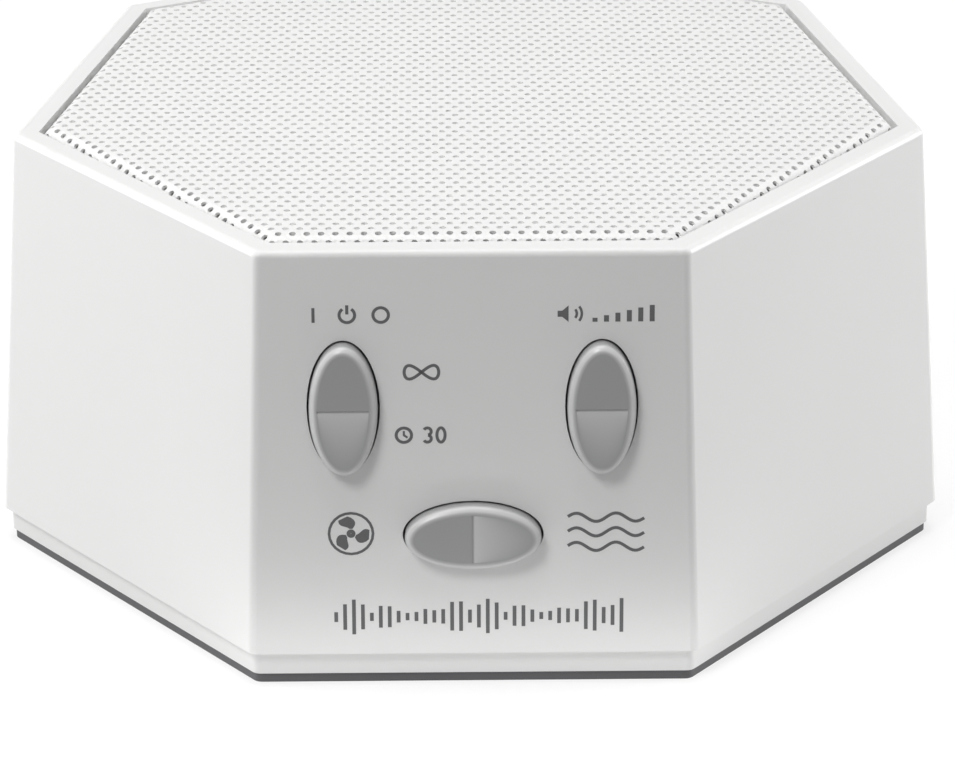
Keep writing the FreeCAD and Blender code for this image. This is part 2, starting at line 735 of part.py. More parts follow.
SWITCHES = []
for key_name, across, up, standing in KEYS:
    ends = (("lower", "-"), ("upper", "")) if standing else (("left", "-"), ("right", ""))
    for end, side in ends:
        spot = (across, total(up, side + "switch_lever")) if standing else (side + "switch_lever", up)
        SWITCHES.append((key_name.replace("key", end), spot[0], spot[1]))
for name, across, up in SWITCHES:
    switch = block(name + "_switch", "switch_size", "switch_size", "switch_height",
                   on_front(across, up, KEY_BOARD_FRONT), front_rotation())
    bore = sketch_on(switch, name + "_bore", place=("0", "0", "switch_height"))
    draw_circle(bore, "plunger_radius + pivot_clearance")
    pocket(switch, bore, "plunger_depth + plunger_travel * 2")
    plunger = body_named(name + "_plunger")
    disc = sketch_on(plunger, name + "_disc")
    draw_circle(disc, "plunger_radius")
    pad(plunger, disc, "plunger_depth + plunger_stand")
    plunger.Placement = FreeCAD.Placement(V(), front_rotation())
    bind_base(plunger, on_front(across, up, minus(SWITCH_TOP, "plunger_depth")))


def screw_group(name, places, rotation, shank_radius, shank_length, head_radius, head_height):
    """Identical screws: each place is under the head, and local Z points along the shank."""
    parts = []
    for number, place in enumerate(places):
        shank = doc.addObject("Part::Cylinder", "%s_shank_%d" % (name, number))
        bind(shank, Radius=shank_radius, Height=shank_length)
        head = doc.addObject("Part::Cylinder", "%s_head_%d" % (name, number))
        bind(head, Radius=head_radius, Height=head_height)
        for piece, shift in ((shank, 0.0), (head, -value(head_height))):
            start = FreeCAD.Placement(V(0, 0, shift), FreeCAD.Rotation())
            piece.Placement = FreeCAD.Placement(V(), rotation).multiply(start)
            along = rotation.multVec(V(0, 0, 1))
            length = "0" if piece is shank else head_height
            bind_base(piece, [minus(text, times(length, "%r" % part))
                              for text, part in zip(place, (along.x, along.y, along.z))])
            parts.append(piece)
    group = doc.addObject("Part::MultiFuse", name + "_group")
    group.Shapes = parts
    add_node(group, name)


screw_group("key_board_screws", [on_front(across, up, KEY_BOARD_BACK) for across, up in KEY_BOSSES],
            front_rotation(), "small_shank_radius", "small_shank_length",
            "small_head_radius", "small_head_height")
screw_group("case_screws",
            [(*around("case_screw_circle", azimuth),
              "foot_thickness + case_head_height + 4 * screw_clearance") for azimuth in CASE_SCREW_AZIMUTHS],
            FreeCAD.Rotation(), "case_shank_radius", "case_shank_length",
            "case_head_radius", "case_head_height")
DOWN = FreeCAD.Rotation(V(1, 0, 0), 180)
screw_group("main_board_screws",
            [(*around("main_post_circle", azimuth), BOARD_TOP) for azimuth in POST_AZIMUTHS],
            DOWN, "small_shank_radius", "small_shank_length", "small_head_radius", "small_head_height")
screw_group("speaker_screws",
            [(*around(SPEAKER_SCREW_CIRCLE, azimuth), minus(SPEAKER_TOP, "basket_sheet"))
             for azimuth in SPEAKER_SCREW_AZIMUTHS],
            FreeCAD.Rotation(), "small_shank_radius", "speaker_shank_length - screw_clearance",
            "small_head_radius", "small_head_height")

# Main board: seven-sided, notched round the case posts
main_board = body_named("main_board")
outline = sketch_on(main_board, "board_outline", place=("0", "0", "main_board_height"))
draw_heptagon(outline, minus(APOTHEM, "main_board_inset"))
pad(main_board, outline, "main_board_thickness")
notches = sketch_on(main_board, "board_notches", place=("0", "0", "main_board_height"))
for azimuth in CASE_SCREW_AZIMUTHS:
    draw_circle(notches, "case_boss_radius + notch_clearance", *around("case_screw_circle", azimuth))
pocket(main_board, notches, "main_board_thickness * 2", reverse=True)
clear = sketch_on(main_board, "board_holes", place=("0", "0", "main_board_height"))
for azimuth in POST_AZIMUTHS:
    draw_circle(clear, "small_shank_radius + 2 * screw_clearance", *around("main_post_circle", azimuth))
pocket(main_board, clear, "main_board_thickness * 2", reverse=True)

block("processor_chip", "chip_side", "chip_side", "chip_height",
      ("-chip_offset_x", "-chip_offset_y", BOARD_TOP))
block("amplifier_chip", "amplifier_width", "amplifier_length", "chip_height",
      ("chip_offset_x", "-chip_offset_y", BOARD_TOP))
for name, side in (("left_capacitor", "-"), ("right_capacitor", "")):
    can = doc.addObject("Part::Cylinder", name)
    bind(can, Radius="capacitor_radius", Height="capacitor_height")
    bind_base(can, (side + "capacitor_offset_x", "capacitor_offset_y", BOARD_TOP))
    add_node(can, name)

# Ribbon cable from the key board down to the main board
SOCKET_WIDTH = "(ribbon_width + 2 * ribbon_margin)"
ribbon_start = on_front("0", "ribbon_start_height", minus(KEY_BOARD_BACK, "ribbon_socket_height"))
block("key_board_socket", SOCKET_WIDTH, "ribbon_socket_depth", "ribbon_socket_height",
      ribbon_start, front_rotation())
RIBBON_Y = total(ribbon_start[1], "ribbon_run", "ribbon_bend")
block("main_board_socket", SOCKET_WIDTH, "ribbon_socket_depth", "ribbon_socket_height",
      ("0", RIBBON_Y, BOARD_TOP))


def ribbon_outline():
    """Side view of the ribbon: a run from the key board, a quarter bend and a drop."""
    half = value("ribbon_thickness") / 2
    bend = value("ribbon_bend")
    start = V(0, value(ribbon_start[1]) + value("screw_clearance") * 2, value(ribbon_start[2]))
    centre = V(0, value(RIBBON_Y) - bend, start.z - bend)
    foot_height = value(BOARD_TOP) + value("ribbon_socket_height") + value("screw_clearance")

    def rim(radius):
        middle = centre + V(0, math.sin(math.pi / 4), math.cos(math.pi / 4)) * radius
        return Part.Arc(centre + V(0, 0, radius), middle, centre + V(0, radius, 0)).toShape()

    outer = rim(bend + half)
    inner = rim(bend - half)
    up, low = V(0, start.y, start.z + half), V(0, start.y, start.z - half)
    outer_foot = V(0, centre.y + bend + half, foot_height)
    inner_foot = V(0, centre.y + bend - half, foot_height)
    lines = [Part.makeLine(up, outer.Vertexes[0].Point), outer,
             Part.makeLine(outer.Vertexes[-1].Point, outer_foot), Part.makeLine(outer_foot, inner_foot),
             Part.makeLine(inner_foot, inner.Vertexes[-1].Point), inner,
             Part.makeLine(inner.Vertexes[0].Point, low), Part.makeLine(low, up)]
    return Part.Wire(Part.sortEdges(lines)[0])


ribbon = doc.addObject("Part::Feature", "ribbon_strip")
ribbon.Shape = Part.Face(ribbon_outline()).extrude(V(value("ribbon_width"), 0, 0))
ribbon.Placement = FreeCAD.Placement(V(-value("ribbon_width") / 2, 0, 0), FreeCAD.Rotation())
add_node(ribbon, "ribbon_cable")


def rear_socket(name, azimuth, width, length, height, axis_height, nose_radius, bore_radius, bore_depth):
    """A socket on the main board whose nose reaches through the side wall."""
    body = body_named(name)
    face = minus("%s - %s * (%s - seam_height)" % (APOTHEM, SLOPE, total(BOARD_TOP, axis_height)), "wall",
                 "2 * nose_gap")
    case = sketch_on(body, name + "_case", place=("0", "0", minus(face, length)))
    draw_rectangle(case, width, height, "0", minus("(%s) / 2" % height, axis_height))
    pad(body, case, length)
    nose = sketch_on(body, name + "_nose", place=("0", "0", face))
    draw_circle(nose, nose_radius)
    pad(body, nose, "wall + 2 * nose_gap - nose_set_back")
    mouth = sketch_on(body, name + "_mouth", place=("0", "0", total(face, "wall + 2 * nose_gap - nose_set_back")))
    draw_circle(mouth, bore_radius)
    pocket(body, mouth, bore_depth)
    body.Placement = FreeCAD.Placement(V(), outward_rotation(azimuth))
    bind_base(body, ("0", "0", total(BOARD_TOP, axis_height)))
    return total(face, "wall + 2 * nose_gap - nose_set_back")


inlet_mouth = rear_socket("dc_inlet", INLET_AZIMUTH, "inlet_width", "inlet_length", "inlet_height",
                          "inlet_axis_height", "inlet_nose_radius", "inlet_bore_radius", "inlet_bore_depth")
jack_mouth = rear_socket("headphone_jack", JACK_AZIMUTH, "jack_width", "jack_length", "jack_height",
                         "jack_height / 2", "jack_nose_radius", "jack_bore_radius", "jack_bore_depth")
pin = body_named("dc_inlet_pin")
disc = sketch_on(pin, "pin_disc", place=("0", "0", minus(inlet_mouth, "inlet_bore_depth")))
draw_circle(disc, "inlet_pin_radius")
pad(pin, disc, "inlet_bore_depth - 2 * nose_set_back")
pin.Placement = FreeCAD.Placement(V(), outward_rotation(INLET_AZIMUTH))
bind_base(pin, ("0", "0", INLET_AXIS))


def turned(name, points):
    """A piece turned about the upright axis, its profile given as radius and height."""
    body = body_named(name)
    profile = sketch_on(body, name + "_profile", "XZ_Plane")
    draw_polygon(profile, points)
    revolve(body, profile)
    return body


# Loudspeaker, all heights counted down from the top of its flange
def under(drop):
    return minus(SPEAKER_TOP, drop)


PLATE_TOP = "basket_depth"
PLATE_UNDER = "(basket_depth + top_plate_thickness)"
MAGNET_UNDER = "(%s + magnet_thickness)" % PLATE_UNDER
YOKE_UNDER = "(%s + yoke_thickness)" % MAGNET_UNDER
COIL_IN = "(pole_radius + coil_gap)"
COIL_OUT = "(%s + coil_wall)" % COIL_IN
CONE_FOOT = "(cone_drop + cone_rise)"
SURROUND_OUT = "(speaker_opening - surround_gap)"
SURROUND_LIP_IN = "(%s - surround_lip)" % SURROUND_OUT
CONE_RADIUS = "(%s - roll_width)" % SURROUND_LIP_IN

turned("speaker_gasket", [("speaker_opening", SPEAKER_TOP), ("speaker_opening + gasket_width", SPEAKER_TOP),
                          ("speaker_opening + gasket_width", BAFFLE_UNDER),
                          ("speaker_opening", BAFFLE_UNDER)])
basket = turned("speaker_basket", [
    (SURROUND_LIP_IN, under("0")), ("flange_radius", under("0")),
    ("flange_radius", under("basket_sheet")), (total(SURROUND_OUT, "basket_sheet"), under("basket_sheet")),
    ("basket_foot_radius + basket_sheet", under(PLATE_TOP)), ("basket_bore_radius", under(PLATE_TOP)),
    ("basket_bore_radius", under("basket_depth - basket_sheet")),
    ("basket_foot_radius", under("basket_depth - basket_sheet")),
    (SURROUND_LIP_IN, under("2 * basket_sheet"))])
window = sketch_on(basket, "basket_window_outline", "XZ_Plane")
draw_rectangle(window, "basket_window", "basket_window_height", "0", under("(basket_depth + basket_sheet) / 2"))
cut = pocket(basket, window, "flange_radius", reverse=True)
array = basket.newObject("PartDesign::PolarPattern", "basket_windows")
array.Originals = [cut]
array.Axis = (window, ["V_Axis"])
array.Angle = 360
array.Occurrences = 4
checked(basket, array, False)
clear = sketch_on(basket, "basket_screw_holes", place=("0", "0", SPEAKER_TOP))
for azimuth in SPEAKER_SCREW_AZIMUTHS:
    draw_circle(clear, "small_shank_radius + 2 * screw_clearance", *around(SPEAKER_SCREW_CIRCLE, azimuth))
pocket(basket, clear, "2 * basket_sheet")

turned("speaker_top_plate", [(total(COIL_OUT, "coil_gap"), under(PLATE_UNDER)),
                             ("top_plate_radius", under(PLATE_UNDER)), ("top_plate_radius", under(PLATE_TOP)),
                             (total(COIL_OUT, "coil_gap"), under(PLATE_TOP))])
turned("speaker_magnet", [("magnet_bore_radius", under(MAGNET_UNDER)), ("magnet_radius", under(MAGNET_UNDER)),
                          ("magnet_radius", under(PLATE_UNDER)), ("magnet_bore_radius", under(PLATE_UNDER))])
turned("speaker_yoke", [("0", under(YOKE_UNDER)), ("yoke_radius", under(YOKE_UNDER)),
                        ("yoke_radius", under(MAGNET_UNDER)), ("pole_radius", under(MAGNET_UNDER)),
                        ("pole_radius", under(PLATE_TOP)), ("0", under(PLATE_TOP))])
turned("voice_coil", [(COIL_IN, under(total(PLATE_TOP, "coil_overhang"))),
                      (COIL_OUT, under(total(PLATE_TOP, "coil_overhang"))),
                      (COIL_OUT, under(minus(PLATE_TOP, "coil_rise"))),
                      (COIL_IN, under(minus(PLATE_TOP, "coil_rise")))])
turned("speaker_cone", [(COIL_OUT, under(CONE_FOOT)), (CONE_RADIUS, under("cone_drop")),
                        (CONE_RADIUS, under("cone_drop - cone_sheet")),
                        (COIL_OUT, under(minus(CONE_FOOT, "cone_sheet")))])
CONE_SLOPE = "cone_rise / (%s - %s)" % (CONE_RADIUS, COIL_OUT)
CAP_EDGE = under("cone_drop - cone_sheet + %s * (%s - cap_radius)" % (CONE_SLOPE, CONE_RADIUS))
CAP_SHOULDER = "(cap_radius * %r)" % DOME_REACH
CAP_SHOULDER_RISE = "(cap_rise * %r)" % DOME_RISE
turned("dust_cap", [("cap_radius", CAP_EDGE), ("cap_radius", total(CAP_EDGE, "cone_sheet")),
                    (CAP_SHOULDER, total(CAP_EDGE, CAP_SHOULDER_RISE, "cone_sheet")),
                    ("0", total(CAP_EDGE, "cap_rise + cone_sheet")), ("0", total(CAP_EDGE, "cap_rise")),
                    (CAP_SHOULDER, total(CAP_EDGE, CAP_SHOULDER_RISE))])
ROLL_MIDDLE = "(%s + %s) / 2" % (SURROUND_LIP_IN, CONE_RADIUS)
turned("cone_surround", [
    (CONE_RADIUS, under("cone_drop")), (CONE_RADIUS, under("cone_drop - surround_sheet")),
    (ROLL_MIDDLE, total(SPEAKER_TOP, "roll_height")),
    (SURROUND_LIP_IN, total(SPEAKER_TOP, "surround_sheet")),
    (SURROUND_OUT, total(SPEAKER_TOP, "surround_sheet")), (SURROUND_OUT, SPEAKER_TOP),
    (SURROUND_LIP_IN, SPEAKER_TOP),
    (ROLL_MIDDLE, total(SPEAKER_TOP, "roll_height - roll_sheet"))])
SPIDER_LEVEL = under("basket_depth - basket_sheet - spider_sheet")
spider_rings = [(COIL_OUT, "0"), (total(COIL_OUT, "spider_run"), "spider_wave"),
                (total(COIL_OUT, "2 * spider_run"), "0"), (total(COIL_OUT, "3 * spider_run"), "spider_wave"),
                ("basket_foot_radius - spider_rim", "0"), ("basket_foot_radius", "0")]
turned("cone_spider",
       [(radius, total(SPIDER_LEVEL, rise, "spider_sheet")) for radius, rise in spider_rings]
       + [(radius, total(SPIDER_LEVEL, rise)) for radius, rise in reversed(spider_rings)])

TERMINAL_Y = "(flange_radius - terminal_sheet)"
TERMINAL_TOP = under("basket_sheet")
block("speaker_terminals", "terminal_width", "terminal_sheet", "terminal_height",
      ("0", TERMINAL_Y, minus(TERMINAL_TOP, "terminal_height")))
block("speaker_socket", "speaker_socket_width", "speaker_socket_length", "speaker_socket_height",
      ("0", "speaker_socket_offset", BOARD_TOP))


def lead(across):
    """One wire: a straight tube from the terminal strip down to the socket."""
    foot_point = V(across, value("speaker_socket_offset"),
                   value(BOARD_TOP) + value("speaker_socket_height") + value("screw_clearance"))
    top_point = V(across, value(TERMINAL_Y), value(minus(TERMINAL_TOP, "terminal_height + screw_clearance")))
    run = top_point - foot_point
    return Part.makeCylinder(value("lead_radius"), run.Length, foot_point, run)


leads = doc.addObject("Part::Feature", "lead_pair")
leads.Shape = Part.makeCompound([lead(side * value("lead_spacing") / 2) for side in (-1, 1)])
add_node(leads, "speaker_leads")

# Check every object, then write one file per piece
doc.recompute()
for thing in doc.Objects:
    faults = [state for state in thing.State if state in ("Invalid", "Error")]
    if faults:
        raise ValueError("%s is %s" % (thing.Label, faults))
for name, thing in nodes.items():
    if thing.Shape.isNull() or not thing.Shape.isValid():
        raise ValueError("%s has no valid shape" % name)
os.makedirs("parts", exist_ok=True)
for name, thing in nodes.items():
    thing.Shape.exportStep("parts/%s.step" % name)
    print("%-22s solids %2d  volume %9.1f" % (name, len(thing.Shape.Solids), thing.Shape.Volume))
print("pieces %d" % len(nodes))
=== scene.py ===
import math

import bmesh
import bpy
from mathutils import Matrix, Vector
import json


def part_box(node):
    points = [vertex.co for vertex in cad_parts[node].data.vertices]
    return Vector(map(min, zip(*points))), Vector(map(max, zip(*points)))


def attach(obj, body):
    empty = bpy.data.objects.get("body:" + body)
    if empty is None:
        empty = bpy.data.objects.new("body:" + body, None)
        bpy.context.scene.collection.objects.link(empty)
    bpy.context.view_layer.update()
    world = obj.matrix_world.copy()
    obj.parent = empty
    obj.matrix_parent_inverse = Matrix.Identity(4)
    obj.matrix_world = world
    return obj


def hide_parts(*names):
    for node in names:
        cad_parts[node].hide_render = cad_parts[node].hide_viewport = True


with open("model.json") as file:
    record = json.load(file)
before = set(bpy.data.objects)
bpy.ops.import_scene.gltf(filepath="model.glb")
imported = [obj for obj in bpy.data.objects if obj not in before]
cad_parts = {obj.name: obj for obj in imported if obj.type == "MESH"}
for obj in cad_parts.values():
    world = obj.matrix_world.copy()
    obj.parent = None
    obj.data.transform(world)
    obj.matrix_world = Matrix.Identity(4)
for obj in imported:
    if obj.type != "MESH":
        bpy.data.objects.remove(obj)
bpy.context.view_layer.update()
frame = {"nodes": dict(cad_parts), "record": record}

MM = 0.001
SIDES = 7
HALF_TURN = math.pi / SIDES
RIGHT_ANGLE = math.pi / 2

# Sizes read from the frame
shell_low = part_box("top_housing")[0]
grille_low, grille_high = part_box("grille")
SEAM = shell_low[2]
APOTHEM = -shell_low[1]
DRAFT = math.radians(3.53)

# Perforated grille, its six-sided cells of sheet in degrees, and the screen under it
HOLE_PITCH = 1.57 * MM
HOLE_RADIUS = 0.385 * MM
HOLE_CORNERS = 12
CELL_SIDES = 6
CELL_START = 30
CELL_STEP = 60
WELD_PARTS = 50
ROW_SHIFT = 0.2
SPARE_ROWS = 2
CUT_TOLERANCE = 1e-7
SHEET = 0.35 * MM
BEND = 1.9 * MM
SCREEN_GAP = 0.02 * MM
SCREEN_THICKNESS = 0.15 * MM

# Camera of the photograph
IMAGE_WIDTH = 955
FOCAL_PIXELS = 4430.4
SENSOR = 36.0
CLIP_START = 0.01
CAMERA_PITCH = math.radians(23.94)
CAMERA_YAW = math.radians(0.51)
CAMERA_ROLL = math.radians(-0.21)
CAMERA_REACH = Vector((0.54, -443.4, 234.0)) * MM


def face_point(across, up, out=0.0):
    """A place across and up the sloping front face, and out of it, in metres."""
    back = -APOTHEM + up * math.sin(DRAFT) - out * math.cos(DRAFT)
    return Vector((across, back, SEAM + up * math.cos(DRAFT) + out * math.sin(DRAFT)))


def face_matrix(across, up, out=0.0):
    """Local X across, Y up the slope and Z out of the front face."""
    turn = Matrix.Rotation(RIGHT_ANGLE - DRAFT, 4, "X")
    return Matrix.Translation(face_point(across, up, out)) @ turn


# Materials

# Sockets of a Mix node that mixes colours
MIX_FACTOR = 0
MIX_FIRST = 6
MIX_SECOND = 7
MIX_RESULT = 2

CLOUD_SCALE = 45
GLOSS_SCALE = 160
GRAIN_DETAIL = 3
GRAIN_DEPTH = 0.02 * MM
STREAK_SCALE = 700
STREAK_STRENGTH = 0.1
STREAK_DEPTH = 0.01 * MM
STREAK_SMOOTHER = 0.08
STREAK_ROUGHER = 0.12


def material(name, base, roughness):
    """A principled material with its plain values on the shader's own sockets."""
    result = bpy.data.materials.new(name)
    result.use_nodes = True
    shader = result.node_tree.nodes["Principled BSDF"]
    shader.inputs["Base Color"].default_value = (*base, 1)
    shader.inputs["Roughness"].default_value = roughness
    return result, result.node_tree, shader


def noise(tree, scale, detail=2.0):
    place = tree.nodes.new("ShaderNodeTexCoord")
    texture = tree.nodes.new("ShaderNodeTexNoise")
    texture.inputs["Scale"].default_value = scale
    texture.inputs["Detail"].default_value = detail
    tree.links.new(place.outputs["Object"], texture.inputs["Vector"])
    return texture.outputs["Fac"]


def bump(tree, shader, height, strength, distance):
    node = tree.nodes.new("ShaderNodeBump")
    node.inputs["Strength"].default_value = strength
    node.inputs["Distance"].default_value = distance
    tree.links.new(height, node.inputs["Height"])
    tree.links.new(node.outputs["Normal"], shader.inputs["Normal"])


def colour_mix(tree, factor):
    """A node that mixes two colours by a factor."""
    node = tree.nodes.new("ShaderNodeMix")
    node.data_type = "RGBA"
    tree.links.new(factor, node.inputs[MIX_FACTOR])
    return node


def vary_colour(tree, shader, factor, low, high):
    """Let a pattern vary the colour between two colours."""
    node = colour_mix(tree, factor)
    node.inputs[MIX_FIRST].default_value = (*low, 1)
    node.inputs[MIX_SECOND].default_value = (*high, 1)
    tree.links.new(node.outputs[MIX_RESULT], shader.inputs["Base Color"])


def vary_roughness(tree, shader, factor, low, high):
    """Let a pattern vary the roughness between two values."""
    node = tree.nodes.new("ShaderNodeMapRange")
    node.inputs["To Min"].default_value = low
    node.inputs["To Max"].default_value = high
    tree.links.new(factor, node.inputs["Value"])
    tree.links.new(node.outputs["Result"], shader.inputs["Roughness"])


def moulded(name, base, roughness, spread=0.01, grain=2600, strength=0.12, gloss=0.05):
    """Moulded or painted surface: faint mottling, uneven gloss and a fine spark grain."""
    result, tree, shader = material(name, base, roughness)
    darker = tuple(max(part - spread, 0) for part in base)
    lighter = tuple(part + spread for part in base)
    vary_colour(tree, shader, noise(tree, CLOUD_SCALE), darker, lighter)
    vary_roughness(tree, shader, noise(tree, GLOSS_SCALE), roughness - gloss, roughness + gloss)
    bump(tree, shader, noise(tree, grain, GRAIN_DETAIL), strength, GRAIN_DEPTH)
    return result


def metal(name, base, roughness, stretch=(1, 1, 14)):
    """Turned or rolled metal with fine streaks in its gloss."""
    result, tree, shader = material(name, base, roughness)
    shader.inputs["Metallic"].default_value = 1.0
    place = tree.nodes.new("ShaderNodeTexCoord")
    scaling = tree.nodes.new("ShaderNodeMapping")
    scaling.inputs["Scale"].default_value = stretch
    texture = tree.nodes.new("ShaderNodeTexNoise")
    texture.inputs["Scale"].default_value = STREAK_SCALE
    tree.links.new(place.outputs["Object"], scaling.inputs["Vector"])
    tree.links.new(scaling.outputs["Vector"], texture.inputs["Vector"])
    streaks = texture.outputs["Fac"]
    vary_roughness(tree, shader, streaks, roughness - STREAK_SMOOTHER, roughness + STREAK_ROUGHER)
    bump(tree, shader, streaks, STREAK_STRENGTH, STREAK_DEPTH)
    return result


def paint_rim_highlight(result, colour):
    """Paint a highlight: lighten the colour where the mesh's own rim value rises."""
    tree = result.node_tree
    shader = tree.nodes["Principled BSDF"]
    plain = shader.inputs["Base Color"].links[0].from_socket
    rim = tree.nodes.new("ShaderNodeAttribute")
    rim.attribute_name = "rim"
    node = colour_mix(tree, rim.outputs["Fac"])
    tree.links.new(plain, node.inputs[MIX_FIRST])
    node.inputs[MIX_SECOND].default_value = (*colour, 1)
    tree.links.new(node.outputs[MIX_RESULT], shader.inputs["Base Color"])


MOULDED = {
    "white_plastic": dict(base=(0.80, 0.80, 0.795), roughness=0.42),
    "white_paint": dict(base=(0.82, 0.82, 0.815), roughness=0.4, spread=0.008, grain=1800, strength=0.1),
    "grey_key": dict(base=(0.352, 0.352, 0.355), roughness=0.3, gloss=0.015),
    "screen_cloth": dict(base=(0.79, 0.79, 0.785), roughness=0.8, spread=0.012, grain=3200, strength=0.5),
    "foot_rubber": dict(base=(0.12, 0.12, 0.125), roughness=0.7, spread=0.02, grain=1500, strength=0.5),
    "board_green": dict(base=(0.02, 0.16, 0.07), roughness=0.4),
    "black_plastic": dict(base=(0.03, 0.03, 0.032), roughness=0.5, spread=0.006),
    "ivory_plastic": dict(base=(0.72, 0.69, 0.6), roughness=0.45),
    "ribbon_grey": dict(base=(0.42, 0.43, 0.46), roughness=0.45),
    "capacitor_sleeve": dict(base=(0.03, 0.04, 0.1), roughness=0.3, spread=0.006),
    "basket_steel": dict(base=(0.04, 0.04, 0.045), roughness=0.45, spread=0.008),
    "magnet_ferrite": dict(base=(0.06, 0.06, 0.065), roughness=0.7, spread=0.015),
    "cone_paper": dict(base=(0.035, 0.035, 0.035), roughness=0.85, grain=900, strength=0.6),
    "surround_rubber": dict(base=(0.025, 0.025, 0.025), roughness=0.55, spread=0.006),
    "spider_cloth": dict(base=(0.5, 0.38, 0.14), roughness=0.8, spread=0.04, grain=900, strength=0.6),
    "gasket_foam": dict(base=(0.06, 0.06, 0.06), roughness=0.9, spread=0.015, grain=1200, strength=0.7),
    "lead_sleeve": dict(base=(0.45, 0.04, 0.03), roughness=0.45),
    "legend_ink": dict(base=(0.12, 0.12, 0.123), roughness=0.5, spread=0.006),
}
METALS = {
    "zinc_steel": dict(base=(0.62, 0.62, 0.64), roughness=0.35),
    "plate_steel": dict(base=(0.55, 0.55, 0.57), roughness=0.4),
    "copper_coil": dict(base=(0.75, 0.4, 0.22), roughness=0.35, stretch=(1, 1, 30)),
    "contact_metal": dict(base=(0.8, 0.78, 0.72), roughness=0.25),
}
# Colour of the highlight painted on the keys' bevels and beside their creases
KEY_HIGHLIGHT_COLOUR = (0.72, 0.72, 0.72)

looks = {name: moulded(name, **finish) for name, finish in MOULDED.items()}
looks.update({name: metal(name, **finish) for name, finish in METALS.items()})
paint_rim_highlight(looks["grey_key"], KEY_HIGHLIGHT_COLOUR)

for entry in frame["record"]["subparts"]:
    node = frame["nodes"][entry["node"]]
    node.data.materials.clear()
    node.data.materials.append(looks[entry["material_slot"]])


def linked(name, mesh):
    """A new object in the scene from a bmesh, which is used up."""
    data = bpy.data.meshes.new(name)
    mesh.to_mesh(data)
    mesh.free()
    result = bpy.data.objects.new(name, data)
    bpy.context.scene.collection.objects.link(result)
    return result


def add_mesh(name, mesh, look, body="housing"):
    """A new piece from a bmesh, riding on a body."""
    piece = linked(name, mesh)
    piece.data.materials.append(looks[look])
    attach(piece, body)
    return piece


# Perforated grille

def lattice_cell(mesh, corners, centre):
    """One six-sided cell of sheet with a round hole, its corners shared with its neighbours."""
    reach = HOLE_PITCH / math.sqrt(3)
    outer = []
    for step in range(CELL_SIDES):
        angle = math.radians(CELL_START + CELL_STEP * step)
        spot = (centre[0] + reach * math.cos(angle), centre[1] + reach * math.sin(angle))
        key = tuple(round(part / HOLE_PITCH * WELD_PARTS) for part in spot)
        if key not in corners:
            corners[key] = mesh.verts.new((*spot, 0))
        outer.append(corners[key])
    rim = []
    for step in range(HOLE_CORNERS):
        angle = math.radians(CELL_START) + 2 * math.pi * step / HOLE_CORNERS
        rim.append(mesh.verts.new((centre[0] + HOLE_RADIUS * math.cos(angle),
                                   centre[1] + HOLE_RADIUS * math.sin(angle), 0)))
    share = HOLE_CORNERS // CELL_SIDES
    for step in range(CELL_SIDES):
        inner = [rim[(step * share + part) % HOLE_CORNERS] for part in range(share, -1, -1)]
        mesh.faces.new([outer[step], outer[(step + 1) % CELL_SIDES]] + inner)


def side_normals():
    return [Vector((math.cos(angle), math.sin(angle), 0))
            for angle in (-RIGHT_ANGLE + 2 * HALF_TURN * step for step in range(SIDES))]


def flat_pattern(normals, reach):
    """The flat sheet with all its holes, clipped to seven sides."""
    mesh = bmesh.new()
    corners = {}
    rise = HOLE_PITCH * math.sqrt(3) / 2
    rows = int(reach / math.cos(HALF_TURN) / rise) + SPARE_ROWS
    for row in range(-rows, rows + 1):
        for step in range(-rows, rows + 1):
            centre = ((step + 0.5 * (row % 2)) * HOLE_PITCH, row * rise + ROW_SHIFT * HOLE_PITCH)
            spot = Vector((*centre, 0))
            if all(spot.dot(normal) < reach + HOLE_PITCH for normal in normals):
                lattice_cell(mesh, corners, centre)
    for normal in normals:
        everything = mesh.verts[:] + mesh.edges[:] + mesh.faces[:]
        bmesh.ops.bisect_plane(mesh, geom=everything, dist=CUT_TOLERANCE, plane_co=normal * reach,
                               plane_no=normal, clear_outer=True)
    return mesh


def turn_down(mesh, normals, flat, bend_length):
    """Bend the sheet down round its edge."""
    for vertex in mesh.verts:
        spot = vertex.co.copy()
        normal = max(normals, key=spot.dot)
        beyond = spot.dot(normal) - flat
        if beyond <= 0:
            vertex.co.z = grille_high[2]
            continue
        turn = min(beyond / BEND, RIGHT_ANGLE)
        out = flat + BEND * math.sin(turn)
        drop = BEND * (1 - math.cos(turn)) + max(beyond - bend_length, 0)
        sideways = spot - normal * spot.dot(normal)
        level = Vector((0, 0, grille_high[2] - drop))
        vertex.co = normal * out + sideways * (out / (flat + beyond)) + level


def perforated_sheet():
    """The flat pattern, turned down round the edge and thickened."""
    flat = -grille_low[1] - BEND
    bend_length = BEND * math.pi / 2
    depth = grille_high[2] - grille_low[2]
    normals = side_normals()
    mesh = flat_pattern(normals, flat + bend_length + depth - BEND)
    turn_down(mesh, normals, flat, bend_length)
    bmesh.ops.recalc_face_normals(mesh, faces=mesh.faces[:])
    if sum(face.normal.z for face in mesh.faces) < 0:
        bmesh.ops.reverse_faces(mesh, faces=mesh.faces[:])
    piece = add_mesh("perforated_grille", mesh, "white_paint")
    solid = piece.modifiers.new("sheet", "SOLIDIFY")
    solid.thickness = SHEET
    solid.offset = -1
    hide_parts("grille")


